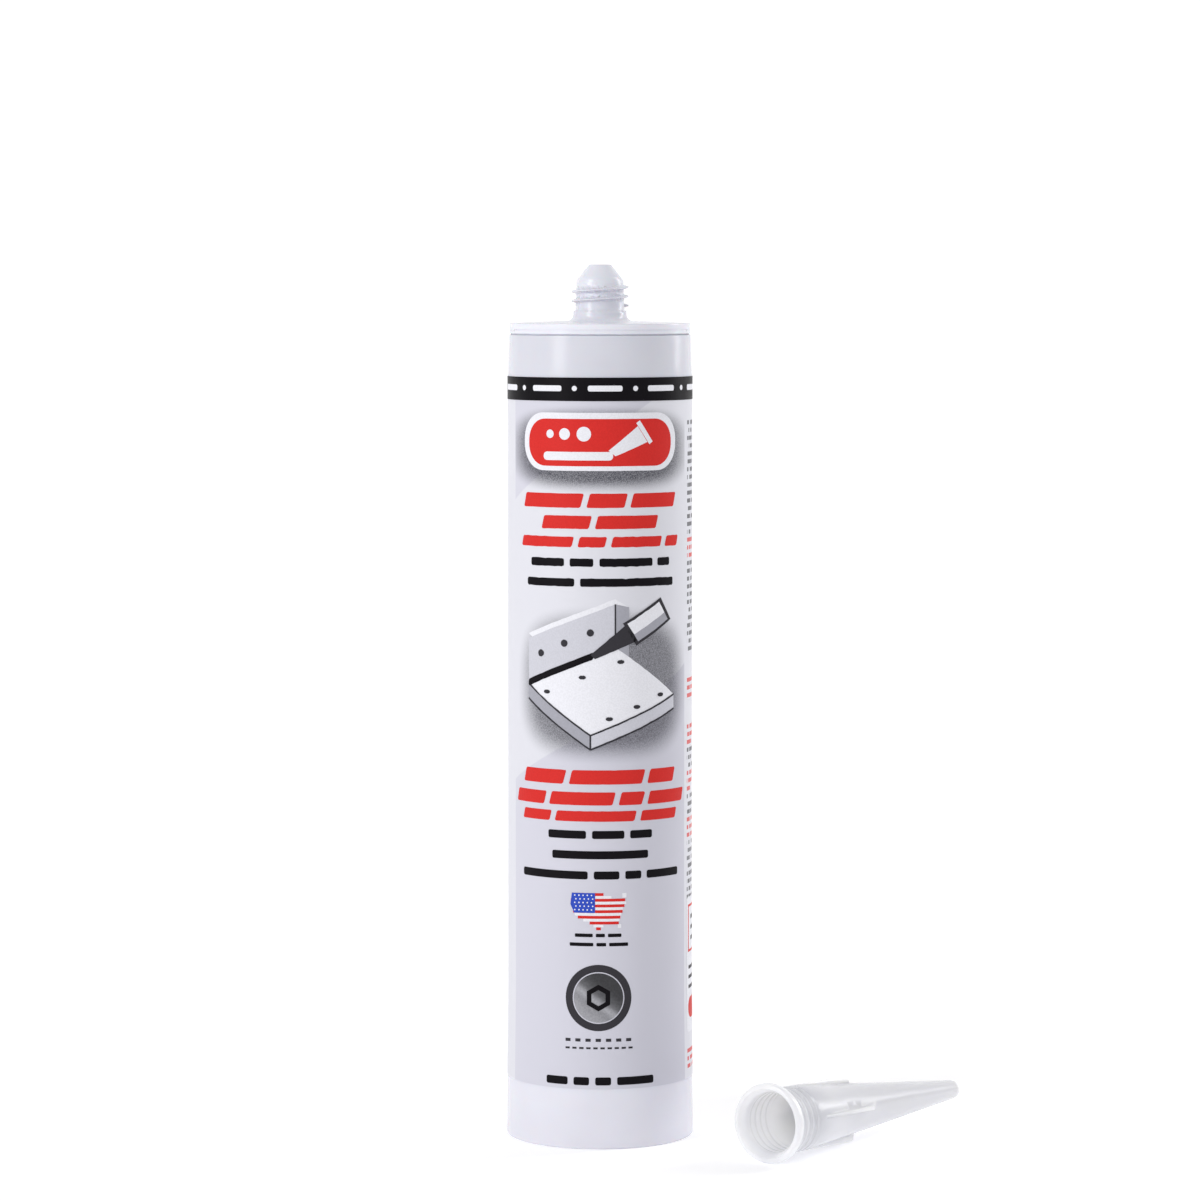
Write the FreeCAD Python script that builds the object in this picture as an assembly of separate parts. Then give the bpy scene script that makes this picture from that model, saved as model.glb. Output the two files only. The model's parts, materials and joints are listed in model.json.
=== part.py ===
import FreeCAD, Part
import math
import os
from FreeCAD import Vector

# Sealant cartridge for a caulking gun: a white plastic barrel with an open rear
# end, a welded head with a closed, threaded spout, a printed film round the
# barrel, a piston, the sealant in front of it, and a nozzle lying beside it.
# Millimetres, +Z up. The origin is on the barrel's axis at its rear rim, which
# the cartridge stands on. The front of the print faces -Y.

# Barrel
barrel_length = 211.9
bore_radius = 23.0
rear_wall = 1.8
waist_wall = 1.25
waist_height = 40.0
shoulder_wall = 1.15
front_wall = 0.8
rear_edge_radius = 0.6
mouth_step = 0.3
mouth_depth = 15.0
mouth_lead_in = 1.2

# Printed film
film_bottom = 15.9
film_top = 201.2
film_thickness = 0.1

# Head
seam_depth = 0.29
seam_height = 0.45
ring_overhang = 0.76
ring_height = 2.65
ring_edge_radius = 0.3
ring_line_depth = 0.12
ring_line_height = 0.3
ring_line_drop = 1.5
rim_width = 1.2
plate_thickness = 1.8
dome_rise = 0.4
spigot_depth = 3.0
spigot_wall = 1.1
spigot_clearance = 0.05

# Spout on the head
flare_radius = 12.0
collar_radius = 6.95
collar_height = 0.8
flare_height = 2.0
core_bottom_radius = 6.45
core_top_radius = 6.1
core_length = 8.0
tip_cone_height = 4.1
tip_radius = 2.85
tip_edge_radius = 0.3
throat_radius = 4.9
spout_wall = 1.4

# Thread of the spout and of the nozzle
thread_pitch = 2.42
thread_crest_radius = 7.5
thread_root_width = 1.15
thread_crest_width = 0.35
thread_bite = 0.4
spout_turns = 2.35
spout_thread_start = 1.35

# Piston
piston_recess = 17.0
piston_height = 21.0
piston_clearance = 0.06
piston_lip_height = 2.0
piston_waist_depth = 0.7
piston_waist_slope = 0.8
piston_disc_thickness = 2.4
piston_skirt_wall = 1.3
piston_hub_radius = 8.0
piston_hub_wall = 1.2
piston_hub_height = 3.0
piston_rib_count = 6
piston_rib_thickness = 1.2
piston_stop_gap = 0.3

# Nozzle, in its own axis from the flange's face to the tip
nozzle_length = 90.0
flange_radius = 10.31
flange_thickness = 2.6
flange_edge_radius = 0.9
funnel_radius = 9.0
funnel_depth = 2.6
funnel_edge_radius = 0.3
socket_radius = 7.7
socket_depth = 14.0
socket_outer_radius = 8.75
socket_outer_end = 8.5
socket_length = 15.5
nozzle_wall = 1.0
nozzle_tip_radius = 2.4
nozzle_tip_edge_radius = 1.6
nozzle_tip_wall = 1.4
nozzle_thread_clearance = 0.25
nozzle_turns = 3.0
fin_count = 4
fin_thickness = 1.1
fin_radius = 8.5
fin_end = 38.5
fin_end_slope = 1.2
fin_corner_radius = 1.0
fin_roll_deg = 8.0

# Where the nozzle lies: its flange's centre seen from above, and its heading
nozzle_x = 42.65
nozzle_y = -42.58
nozzle_heading_deg = 36.9

AXIS = Vector(0, 0, 1)
ORIGIN = Vector(0, 0, 0)
FULL_TURN = 360.0

rear_radius = bore_radius + rear_wall
waist_radius = bore_radius + waist_wall
shoulder_radius = bore_radius + shoulder_wall
front_radius = bore_radius + front_wall
mouth_radius = bore_radius + mouth_step
ring_radius = bore_radius + ring_overhang
seam_radius = ring_radius - seam_depth
head_top = barrel_length + seam_height + ring_height
plate_underside = head_top - plate_thickness
spigot_bottom = barrel_length - spigot_depth
spigot_inner_radius = bore_radius - spigot_clearance - spigot_wall
dome_top = head_top + dome_rise
collar_top = dome_top + flare_height + collar_height
cone_base = collar_top + core_length
spout_top = cone_base + tip_cone_height
throat_top = spout_top - spout_wall
throat_end_radius = tip_radius - spout_wall / 2
piston_front = piston_recess + piston_height
piston_radius = bore_radius - piston_clearance
piston_travel = spigot_bottom - piston_front - piston_stop_gap


def rounded_wire(corners):
    """Closed wire in the XZ plane through (radius, height) or (radius, height, rounding) corners."""
    points = [Vector(c[0], 0, c[1]) for c in corners]
    roundings = [c[2] if len(c) > 2 else 0.0 for c in corners]
    pieces = []
    for index, point in enumerate(points):
        rounding = roundings[index]
        before = points[index - 1] - point
        after = points[(index + 1) % len(points)] - point
        if rounding <= 0:
            pieces.append((point, point, None))
            continue
        before.normalize()
        after.normalize()
        half_angle = before.getAngle(after) / 2
        reach = rounding / math.tan(half_angle)
        bisector = before + after
        bisector.normalize()
        middle = point + bisector * (rounding / math.sin(half_angle) - rounding)
        pieces.append((point + before * reach, point + after * reach, middle))
    edges = []
    for index, (start, end, middle) in enumerate(pieces):
        if middle is not None:
            edges.append(Part.Arc(start, middle, end).toShape())
        following = pieces[(index + 1) % len(pieces)][0]
        if end.distanceToPoint(following) > 1e-6:
            edges.append(Part.LineSegment(end, following).toShape())
    return Part.Wire(edges)


def turned(corners):
    """Solid of revolution about the Z axis."""
    return Part.Face(rounded_wire(corners)).revolve(ORIGIN, AXIS, FULL_TURN)


def thread_ridge(root, crest, bottom, turns, start_deg):
    """Right-handed trapezoid ridge on a cylinder; it bites into the wall at its root."""
    outwards = 1.0 if crest > root else -1.0
    foot = root - outwards * thread_bite
    half_root = thread_root_width / 2
    half_crest = thread_crest_width / 2
    section = Part.makePolygon([
        Vector(foot, 0, -half_root), Vector(root, 0, -half_root), Vector(crest, 0, -half_crest),
        Vector(crest, 0, half_crest), Vector(root, 0, half_root), Vector(foot, 0, half_root),
        Vector(foot, 0, -half_root)])
    helix = Part.makeHelix(thread_pitch, thread_pitch * turns, root)
    ridge = Part.Wire(helix.Edges).makePipeShell([section], True, True)
    ridge.rotate(ORIGIN, AXIS, start_deg)
    ridge.translate(Vector(0, 0, bottom))
    return ridge


def barrel_outside_radius(height):
    """Radius of the barrel's outer wall at a height between the rear rim and the film's top."""
    if height < waist_height:
        return rear_radius + (waist_radius - rear_radius) * height / waist_height
    share = (height - waist_height) / (film_top - waist_height)
    return waist_radius + (shoulder_radius - waist_radius) * share


def make_barrel():
    return turned([
        (mouth_radius, 0), (rear_radius, 0, rear_edge_radius), (waist_radius, waist_height),
        (shoulder_radius, film_top), (front_radius, barrel_length), (bore_radius, barrel_length),
        (bore_radius, mouth_depth + mouth_lead_in), (mouth_radius, mouth_depth)])


def make_label():
    foot = barrel_outside_radius(film_bottom)
    return turned([
        (foot, film_bottom), (foot + film_thickness, film_bottom),
        (waist_radius + film_thickness, waist_height), (shoulder_radius + film_thickness, film_top),
        (shoulder_radius, film_top), (waist_radius, waist_height)])


def head_outside():
    spigot_radius = bore_radius - spigot_clearance
    ring_bottom = barrel_length + seam_height
    line_top = head_top - ring_line_drop
    line_bottom = line_top - ring_line_height
    rim_inner_radius = ring_radius - rim_width
    plate = [
        (0, spigot_bottom), (spigot_radius, spigot_bottom), (spigot_radius, barrel_length),
        (seam_radius, barrel_length), (seam_radius, ring_bottom), (ring_radius, ring_bottom),
        (ring_radius, line_bottom), (ring_radius - ring_line_depth, line_bottom),
        (ring_radius - ring_line_depth, line_top), (ring_radius, line_top),
        (ring_radius, head_top, ring_edge_radius), (rim_inner_radius, head_top)]
    flare_corner = (collar_radius, dome_top, flare_height)
    spout = [
        (flare_radius, dome_top), flare_corner, (collar_radius, collar_top),
        (core_bottom_radius, collar_top), (core_top_radius, cone_base),
        (tip_radius, spout_top, tip_edge_radius), (0, spout_top)]
    return turned(plate + spout)


def head_inside():
    return turned([
        (0, spigot_bottom), (spigot_inner_radius, spigot_bottom), (spigot_inner_radius, plate_underside),
        (throat_radius, plate_underside), (throat_radius, cone_base),
        (throat_end_radius, throat_top), (0, throat_top)])


def make_head():
    thread = thread_ridge(core_bottom_radius - thread_bite, thread_crest_radius,
                          collar_top + spout_thread_start, spout_turns, 0)
    return head_outside().fuse(thread).cut(head_inside()).removeSplitter()


def make_sealant():
    return turned([
        (0, piston_front), (bore_radius, piston_front), (bore_radius, spigot_bottom),
        (spigot_inner_radius, spigot_bottom), (spigot_inner_radius, plate_underside),
        (throat_radius, plate_underside), (throat_radius, cone_base),
        (throat_end_radius, throat_top), (0, throat_top)])


def make_piston():
    waist = piston_radius - piston_waist_depth
    front_lip = piston_front - piston_lip_height
    rear_lip = piston_recess + piston_lip_height
    disc_back = piston_front - piston_disc_thickness
    skirt_inner_radius = waist - piston_skirt_wall
    cup = turned([
        (0, disc_back), (skirt_inner_radius, disc_back), (skirt_inner_radius, piston_recess),
        (piston_radius, piston_recess), (piston_radius, rear_lip), (waist, rear_lip + piston_waist_slope),
        (waist, front_lip - piston_waist_slope), (piston_radius, front_lip), (piston_radius, piston_front),
        (0, piston_front)])
    hub_inner_radius = piston_hub_radius - piston_hub_wall
    hub_end = disc_back - piston_hub_height
    hub = turned([
        (hub_inner_radius, hub_end), (piston_hub_radius, hub_end),
        (piston_hub_radius, disc_back + piston_disc_thickness / 2),
        (hub_inner_radius, disc_back + piston_disc_thickness / 2)])
    rib_length = skirt_inner_radius - piston_hub_radius + piston_skirt_wall / 2 + piston_hub_wall / 2
    ribs = []
    for index in range(piston_rib_count):
        rib = Part.makeBox(rib_length, piston_rib_thickness, piston_hub_height + piston_disc_thickness / 2)
        rib.translate(Vector(piston_hub_radius - piston_hub_wall / 2, -piston_rib_thickness / 2, hub_end))
        rib.rotate(ORIGIN, AXIS, index * FULL_TURN / piston_rib_count)
        ribs.append(rib)
    return cup.fuse([hub] + ribs).removeSplitter()


def nozzle_outside():
    return turned([
        (0, 0), (flange_radius, 0, flange_edge_radius),
        (flange_radius, flange_thickness, flange_edge_radius), (socket_outer_radius, flange_thickness),
        (socket_outer_end, socket_length), (nozzle_tip_radius, nozzle_length, nozzle_tip_edge_radius),
        (0, nozzle_length)])


def nozzle_inside():
    bore_end_radius = nozzle_tip_radius - nozzle_wall
    return turned([
        (0, 0), (funnel_radius, 0), (socket_radius, funnel_depth), (socket_radius, socket_depth),
        (socket_outer_end - nozzle_wall, socket_length), (bore_end_radius, nozzle_length - nozzle_tip_wall),
        (0, nozzle_length - nozzle_tip_wall)])


def nozzle_fin():
    """One fin that lies on the cone, with its outer edge in line with the socket."""
    root = nozzle_tip_radius
    start = flange_thickness / 2
    section = rounded_wire([
        (root, start), (socket_outer_radius - nozzle_wall / 2, start), (fin_radius, socket_length),
        (fin_radius, fin_end, fin_corner_radius), (root, fin_end + fin_end_slope)])
    fin = Part.Face(section).extrude(Vector(0, fin_thickness, 0))
    fin.translate(Vector(0, -fin_thickness / 2, 0))
    return fin


def place_nozzle(nozzle):
    """Lay the nozzle on the ground: its flange's back edge and its lowest fin both touch it."""
    roll = math.radians(fin_roll_deg)
    fin_reach = fin_radius * math.cos(roll) + fin_thickness / 2 * math.sin(roll)
    touch_along = flange_thickness - flange_edge_radius
    drop = flange_radius - flange_edge_radius - fin_reach
    run = fin_end - fin_corner_radius - touch_along
    tilt = math.atan2(drop, run) + math.asin(flange_edge_radius / math.hypot(drop, run))
    axis_height = (flange_radius - flange_edge_radius) * math.cos(tilt) + flange_edge_radius
    face_height = axis_height + touch_along * math.sin(tilt)
    nozzle.rotate(ORIGIN, Vector(1, 0, 0), -90 - math.degrees(tilt))
    nozzle.rotate(ORIGIN, AXIS, -nozzle_heading_deg)
    nozzle.translate(Vector(nozzle_x, nozzle_y, face_height))
    print("nozzle tilt", round(math.degrees(tilt), 3), "flange centre height", round(face_height, 3))
    return nozzle


def make_nozzle():
    nozzle = nozzle_outside()
    fins = []
    for index in range(fin_count):
        fin = nozzle_fin()
        fin.rotate(ORIGIN, AXIS, 90 - fin_roll_deg + index * FULL_TURN / fin_count)
        fins.append(fin)
    hollow = nozzle.fuse(fins).cut(nozzle_inside())
    crest = core_bottom_radius + nozzle_thread_clearance
    thread = thread_ridge(socket_radius, crest, funnel_depth + thread_root_width, nozzle_turns, 0)
    return place_nozzle(hollow.fuse(thread).removeSplitter())


def main():
    os.makedirs("parts", exist_ok=True)
    shapes = {
        "barrel": make_barrel(),
        "head": make_head(),
        "label": make_label(),
        "piston": make_piston(),
        "sealant": make_sealant(),
        "nozzle": make_nozzle(),
    }
    for name, shape in shapes.items():
        solids = shape.Solids
        if len(solids) == 1:
            shape = solids[0]
        print(name, "solids", len(solids), "valid", shape.isValid(), "volume", round(shape.Volume, 1))
        shape.exportStep("parts/" + name + ".step")
    print("piston travel", round(piston_travel, 3))


main()
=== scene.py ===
import json
import math

import bpy
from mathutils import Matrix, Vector


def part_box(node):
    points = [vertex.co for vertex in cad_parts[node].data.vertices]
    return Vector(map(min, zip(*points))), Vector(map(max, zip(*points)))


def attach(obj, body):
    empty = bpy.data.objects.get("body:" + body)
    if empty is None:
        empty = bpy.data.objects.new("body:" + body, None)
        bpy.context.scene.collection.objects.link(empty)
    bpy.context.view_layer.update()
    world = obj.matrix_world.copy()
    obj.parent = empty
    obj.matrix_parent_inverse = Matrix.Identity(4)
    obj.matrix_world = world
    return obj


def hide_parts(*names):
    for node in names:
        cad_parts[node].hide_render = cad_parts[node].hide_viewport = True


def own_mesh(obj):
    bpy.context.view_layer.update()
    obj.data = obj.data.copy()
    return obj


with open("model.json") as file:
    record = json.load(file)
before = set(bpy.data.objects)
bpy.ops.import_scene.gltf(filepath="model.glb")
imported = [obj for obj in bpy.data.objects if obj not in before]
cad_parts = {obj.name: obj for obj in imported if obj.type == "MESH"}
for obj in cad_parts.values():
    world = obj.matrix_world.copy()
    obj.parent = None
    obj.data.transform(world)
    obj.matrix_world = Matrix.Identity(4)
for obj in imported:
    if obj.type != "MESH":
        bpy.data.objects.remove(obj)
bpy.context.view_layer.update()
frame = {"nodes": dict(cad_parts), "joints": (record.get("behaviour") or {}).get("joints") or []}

bl_info = {
    "name": "Sealant Cartridge",
    "version": (1, 0, 0),
    "blender": (4, 5, 0),
    "location": "3D View > Sidebar > Cartridge",
    "description": "Finishes a sealant cartridge: plastics, printed film, sealant and a plain studio",
    "category": "Object",
}

MM = 0.001
FRONT = math.radians(90)

# What the frame says about the cartridge, in millimetres
FILM_LOW, FILM_HIGH = (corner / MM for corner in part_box("label"))
SEALANT_LOW, SEALANT_HIGH = (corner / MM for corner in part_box("sealant"))

# Film on the barrel, in millimetres
FILM_THICKNESS = 0.1
WAIST_HEIGHT = 40.0
WAIST_RADIUS = 24.35
TOP_RADIUS = 24.25
PRINT_RADIUS = 24.3
LAP_WIDTH = 8.0
FILM_SEGMENTS = 256

# Inks and shapes of the print, in millimetres across the front and up from the rear rim
BAND_BOTTOM = 195.1
PANEL_HALF_WIDTH = 27.75
BADGE_MIDDLE = (0.0, 184.6)
DRAWING_MIDDLE = (1.4, 121.5)
INK_LIFT = 0.015
INK_THICKNESS = 0.03
CLEAR_OF_FILM = 0.3
COLUMN_STEP = 1.0

# Heights between which the dark filling comes to show through the barrel's wall, in millimetres
FILLING_SHOWS = (34.0, 60.0)

# The nozzle's own axis, from the middle of its flange's face to its tip, in millimetres and degrees
NOZZLE_FACE = (42.65, -42.58, 10.38)
NOZZLE_HEADING = 36.9
NOZZLE_TILT = 2.91


class CartridgeFinish(bpy.types.PropertyGroup):
    """Colours and gloss of the plastics and of the film"""
    barrel_plastic: bpy.props.FloatVectorProperty(
        name="Barrel plastic", description="Colour of the barrel",
        subtype="COLOR", size=3, min=0, max=1, default=(0.74, 0.735, 0.81))
    # The head's white is its own colour, set a little lighter than its ring needs so that the spout looks
    # lit from above: partly painted light
    head_plastic: bpy.props.FloatVectorProperty(
        name="Head plastic", description="Colour of the head and its spout",
        subtype="COLOR", size=3, min=0, max=1, default=(0.79, 0.79, 0.865))
    plastic_roughness: bpy.props.FloatProperty(
        name="Plastic roughness", description="Roughness of the barrel and the head",
        subtype="FACTOR", min=0, max=1, default=0.24)
    film_white: bpy.props.FloatVectorProperty(
        name="Film white", description="Colour of the film where nothing is printed on it",
        subtype="COLOR", size=3, min=0, max=1, default=(0.70, 0.70, 0.755))
    panel_grey: bpy.props.FloatVectorProperty(
        name="Panel grey", description="Colour of the grey front panel",
        subtype="COLOR", size=3, min=0, max=1, default=(0.605, 0.60, 0.675))
    film_roughness: bpy.props.FloatProperty(
        name="Film roughness", description="Roughness of the film",
        subtype="FACTOR", min=0, max=1, default=0.40)
    milky_plastic: bpy.props.FloatVectorProperty(
        name="Milky plastic", description="Colour of the translucent nozzle",
        subtype="COLOR", size=3, min=0, max=1, default=(0.935, 0.942, 1.0))
    piston_plastic: bpy.props.FloatVectorProperty(
        name="Piston plastic", description="Colour of the piston",
        subtype="COLOR", size=3, min=0, max=1, default=(0.74, 0.73, 0.70))
    sealant_colour: bpy.props.FloatVectorProperty(
        name="Sealant", description="Colour of the paste in the barrel",
        subtype="COLOR", size=3, min=0, max=1, default=(0.012, 0.012, 0.013))


class CartridgeInks(bpy.types.PropertyGroup):
    """Colours of the inks on the film"""
    black: bpy.props.FloatVectorProperty(
        name="Black", description="Band and small lines", subtype="COLOR", size=3,
        min=0, max=1, default=(0.005, 0.004, 0.006))
    red: bpy.props.FloatVectorProperty(
        name="Red", description="Badge and headlines", subtype="COLOR", size=3,
        min=0, max=1, default=(0.66, 0.030, 0.026))
    white: bpy.props.FloatVectorProperty(
        name="White", description="Marks on the band and on the badge", subtype="COLOR", size=3,
        min=0, max=1, default=(0.82, 0.82, 0.87))
    blue: bpy.props.FloatVectorProperty(
        name="Blue", description="Dotted field of the small figure", subtype="COLOR", size=3,
        min=0, max=1, default=(0.035, 0.08, 0.50))
    dark_grey: bpy.props.FloatVectorProperty(
        name="Dark grey", description="Ring of the round emblem", subtype="COLOR", size=3,
        min=0, max=1, default=(0.040, 0.038, 0.045))
    pale_grey: bpy.props.FloatVectorProperty(
        name="Pale grey", description="Shaded faces of the drawn boards", subtype="COLOR", size=3,
        min=0, max=1, default=(0.60, 0.60, 0.66))
    mid_grey: bpy.props.FloatVectorProperty(
        name="Mid grey", description="Sides of the drawn boards", subtype="COLOR", size=3,
        min=0, max=1, default=(0.38, 0.38, 0.43))


class CartridgeStudio(bpy.types.PropertyGroup):
    """Camera, light and floor"""
    camera_height: bpy.props.FloatProperty(
        name="Camera height", description="Height of the camera above the floor",
        unit="LENGTH", default=0.22543)
    camera_distance: bpy.props.FloatProperty(
        name="Camera distance", description="Distance of the camera from the barrel's axis",
        unit="LENGTH", default=1.127)
    camera_pitch: bpy.props.FloatProperty(
        name="Camera pitch", description="How far the camera looks down",
        subtype="ANGLE", default=math.radians(4.236))
    camera_lens: bpy.props.FloatProperty(
        name="Lens", description="Focal length for a sensor 36 mm wide, in millimetres",
        min=20, max=400, default=128.35)
    world_strength: bpy.props.FloatProperty(
        name="Surrounding light", description="Strength of the plain light from all sides",
        min=0, max=10, default=0.58)
    key_power: bpy.props.FloatProperty(
        name="Key light", description="Power of the tall softbox on the left, in watts",
        min=0, max=1000, default=5.8)
    fill_power: bpy.props.FloatProperty(
        name="Side light", description="Power of the strip on the right, in watts",
        min=0, max=1000, default=4.2)
    floor_glow: bpy.props.FloatProperty(
        name="Floor light", description="Light that the floor gives off under the cartridge",
        min=0, max=10, default=0.30)
    backdrop_glow: bpy.props.FloatProperty(
        name="Backdrop light", description="Light that the floor and its swept back give off far behind",
        min=0, max=10, default=0.44)
    floor_colour: bpy.props.FloatVectorProperty(
        name="Floor", description="Colour of the floor", subtype="COLOR", size=3,
        min=0, max=1, default=(0.86, 0.86, 0.87))


def look_only_at(obj):
    """Leave edit mode, deselect everything and make this object the active one."""
    if bpy.context.object and bpy.context.object.mode != "OBJECT":
        bpy.ops.object.mode_set(mode="OBJECT")
    bpy.ops.object.select_all(action="DESELECT")
    if obj is not None:
        obj.select_set(True)
        bpy.context.view_layer.objects.active = obj


def apply_modifiers(obj):
    """Apply all modifiers of an object, in their order."""
    look_only_at(obj)
    for modifier in list(obj.modifiers):
        bpy.ops.object.modifier_apply(modifier=modifier.name)


def select_vertices(obj, test):
    """Select in edit mode the vertices that pass the test."""
    bpy.ops.object.mode_set(mode="OBJECT")
    for polygon in obj.data.polygons:
        polygon.select = False
    for edge in obj.data.edges:
        edge.select = False
    for vertex in obj.data.vertices:
        vertex.select = test(vertex.co)
    bpy.ops.object.mode_set(mode="EDIT")
    bpy.ops.mesh.select_mode(type="VERT")


def finish_piece(obj, material, body):
    """Give a finished piece its material and its body."""
    obj.data.materials.clear()
    obj.data.materials.append(material)
    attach(obj, body)
    look_only_at(None)
    return obj


class Recipe:
    """A node material under construction, with one Principled shader."""

    def __init__(self, name):
        self.material = bpy.data.materials.new(name)
        self.material.use_nodes = True
        self.nodes = self.material.node_tree.nodes
        self.links = self.material.node_tree.links
        self.shader = self.nodes["Principled BSDF"]
        coordinates = self.nodes.new("ShaderNodeTexCoord")
        self.place = coordinates.outputs["Object"]

    def put(self, socket, value):
        if isinstance(value, bpy.types.NodeSocket):
            self.links.new(value, socket)
        else:
            socket.default_value = value

    def node(self, kind, settings=(), **inputs):
        new = self.nodes.new("ShaderNode" + kind)
        for name, value in dict(settings).items():
            setattr(new, name, value)
        for name, value in inputs.items():
            self.put(new.inputs[name.replace("_", " ")], value)
        return new

    def sum(self, operation, *values):
        """One math node; its result is the socket that comes back."""
        new = self.node("Math", {"operation": operation})
        for index, value in enumerate(values):
            self.put(new.inputs[index], value)
        return new.outputs[0]

    def ramp(self, value, low, high, start=0.0, end=1.0):
        """Smooth step of a value from low to high."""
        new = self.node("MapRange", {"interpolation_type": "SMOOTHSTEP"})
        for name, number in (("Value", value), ("From Min", low), ("From Max", high),
                             ("To Min", start), ("To Max", end)):
            self.put(new.inputs[name], number)
        return new.outputs["Result"]

    def mix(self, share, first, second):
        new = self.node("Mix", {"data_type": "RGBA"})
        self.put(new.inputs["Factor"], share)
        self.put(new.inputs[6], first)
        self.put(new.inputs[7], second)
        return new.outputs[2]

    def noise(self, scale, detail=2.0):
        new = self.node("TexNoise", Vector=self.place, Scale=scale, Detail=detail)
        return new.outputs["Fac"]

    def bump(self, height, distance, strength=1.0):
        new = self.node("Bump", Height=height, Distance=distance, Strength=strength)
        self.put(self.shader.inputs["Normal"], new.outputs["Normal"])

    def finish(self, **values):
        for name, value in values.items():
            self.put(self.shader.inputs[name.replace("_", " ")], value)
        return self.material


def colour(value):
    """An opaque colour of three channels, as a shader takes it."""
    return (value[0], value[1], value[2], 1.0)


def dimmed(value, share):
    """A colour with this share of its lightness."""
    return [channel * share for channel in value]


def moulded_plastic(name, tint, roughness, mottle=0.03, ring_depth=0.00001, filled=1.0):
    """Polyethylene: faint mottling, and the fine rings that a turned mould leaves.

    The wall keeps the share filled of its lightness where dark sealant stands behind it.
    """
    recipe = Recipe(name)
    cloud = recipe.ramp(recipe.noise(60.0), 0.3, 0.7)
    darker = dimmed(tint, 1 - mottle)
    height = recipe.node("SeparateXYZ", Vector=recipe.place).outputs["Z"]
    low, high = FILLING_SHOWS
    behind = recipe.ramp(height, low * MM, high * MM)
    worn = recipe.mix(behind, colour(darker), colour(dimmed(darker, filled)))
    clean = recipe.mix(behind, colour(tint), colour(dimmed(tint, filled)))
    rings = recipe.node("Mapping", Vector=recipe.place, Scale=(12.0, 12.0, 1500.0))
    turned = recipe.node("TexNoise", Vector=rings.outputs["Vector"], Scale=1.0, Detail=1.0)
    recipe.bump(turned.outputs["Fac"], ring_depth)
    return recipe.finish(
        Base_Color=recipe.mix(cloud, worn, clean),
        Roughness=recipe.ramp(recipe.noise(140.0), 0.2, 0.8, roughness * 0.9, roughness * 1.08),
        Subsurface_Weight=0.12, Subsurface_Scale=0.004)


def ink(name, tint, roughness=0.42, speckle=0.06):
    """Printed ink, a little uneven."""
    recipe = Recipe(name)
    grain = recipe.ramp(recipe.noise(2500.0, 1.0), 0.35, 0.65)
    return recipe.finish(
        Base_Color=recipe.mix(grain, colour(dimmed(tint, 1 - speckle)), colour(tint)),
        Specular_IOR_Level=0.08,
        Roughness=recipe.ramp(recipe.noise(300.0), 0.0, 1.0, roughness * 0.85, roughness * 1.15))


def new_outline(name):
    """An empty mesh in edit mode, to which flat shapes of print are added."""
    look_only_at(None)
    bpy.ops.object.add(type="MESH")
    obj = bpy.context.object
    obj.name = name
    obj.data.name = name
    bpy.ops.object.mode_set(mode="EDIT")
    return obj


def add_block(across, up, width, height):
    """A rectangle of print, centred at (across, up), in edit mode."""
    centre = (across * MM, 0, up * MM)
    bpy.ops.mesh.select_all(action="DESELECT")
    bpy.ops.mesh.primitive_plane_add(size=1, location=centre, rotation=(FRONT, 0, 0))
    bpy.ops.transform.resize(value=(width * MM, 1, height * MM), center_override=centre)


def add_disc(across, up, radius, squash=1.0, corners=48):
    """A filled ellipse of print, in edit mode."""
    centre = (across * MM, 0, up * MM)
    bpy.ops.mesh.select_all(action="DESELECT")
    bpy.ops.mesh.primitive_circle_add(vertices=corners, radius=radius * MM, fill_type="NGON",
                                      location=centre, rotation=(FRONT, 0, 0))
    if squash != 1.0:
        bpy.ops.transform.resize(value=(1, 1, squash), center_override=centre)


def add_ring(across, up, outer, inner, corners=64):
    """A flat ring of print, in edit mode: a disc whose inset middle is taken out."""
    add_disc(across, up, outer, corners=corners)
    bpy.ops.mesh.inset(thickness=(outer - inner) * MM)
    bpy.ops.mesh.delete(type="FACE")


def add_quad(corners):
    """A four-cornered patch of print, in edit mode: a square whose corners are moved to their places."""
    obj = bpy.context.object
    following = corners[1:] + corners[:1]
    if sum(a[0] * b[1] - b[0] * a[1] for a, b in zip(corners, following)) < 0:
        corners = corners[::-1]
    add_block(0, 0, 1, 1)
    bpy.ops.object.mode_set(mode="OBJECT")
    first = len(obj.data.vertices) - 4
    starts = [obj.data.vertices[first + index].co.copy() for index in (0, 1, 3, 2)]
    for start, (across, up) in zip(starts, corners):
        select_vertices(obj, lambda place: (place - start).length < 1e-7)
        goal = Vector((across * MM, 0, up * MM))
        bpy.ops.transform.translate(value=goal - start)


def add_bars(middle, height, left, right, lengths, slant=0.0, gap=1.6):
    """A row of bars in the given proportions, from left to right; their tops lean to the right by slant."""
    obj = bpy.context.object
    unit = (right - left - gap * (len(lengths) - 1)) / sum(lengths)
    cursor = left
    for length in lengths:
        add_block(cursor + unit * length / 2, middle, unit * length, height)
        cursor += unit * length + gap
    if slant:
        top = (middle + height / 2) * MM
        select_vertices(obj, lambda place: abs(place.z - top) < 1e-6)
        bpy.ops.transform.translate(value=(slant * MM, 0, 0))


def round_corners(radius, segments=2):
    """Round every corner of a flat print, in edit mode."""
    bpy.ops.mesh.select_all(action="SELECT")
    bpy.ops.mesh.bevel(offset=radius * MM, segments=segments, affect="VERTICES")


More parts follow.
